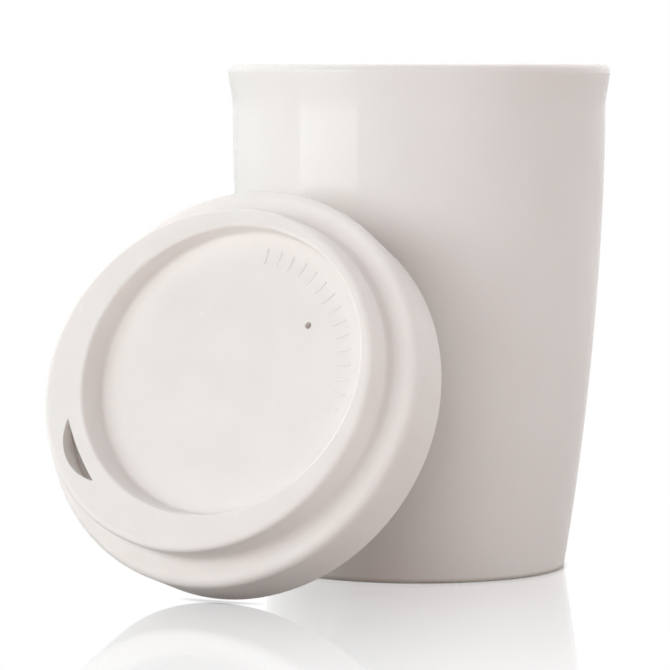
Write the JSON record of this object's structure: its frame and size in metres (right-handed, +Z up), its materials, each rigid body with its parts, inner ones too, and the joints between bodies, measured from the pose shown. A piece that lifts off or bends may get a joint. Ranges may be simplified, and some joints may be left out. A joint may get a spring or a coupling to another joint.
{
  "type": "insulated travel mug",
  "caption": "Double-wall glazed porcelain tumbler with a flared rim, and its matte silicone travel lid leaning on it, with a sip slot and an air hole.",
  "frame": {"origin": "centre of the mug's foot, on the surface it stands on", "axes": "+Z up along the mug's axis, +X to the right, -Y towards the leaning lid and the viewer"},
  "size_m": [0.129, 0.1337, 0.118],
  "materials": {
    "porcelain_outer": "gloss",
    "porcelain_inner": "gloss",
    "silicone_plug": "matte",
    "silicone_lid": "matte"
  },
  "bodies": {
    "mug": {"outer_wall": "porcelain_outer", "inner_wall": "porcelain_inner", "vent_plug": "silicone_plug"},
    "lid": {"lid": "silicone_lid"}
  },
  "joints": [
    {"name": "lid_lift", "type": "hinge", "parent": "mug", "child": "lid", "pos_m": [0.04864, 0.12399, 0.10982], "axis": [-0.903, 0.4258, 0.0575], "range_deg": [0, 68.73]}
  ]
}
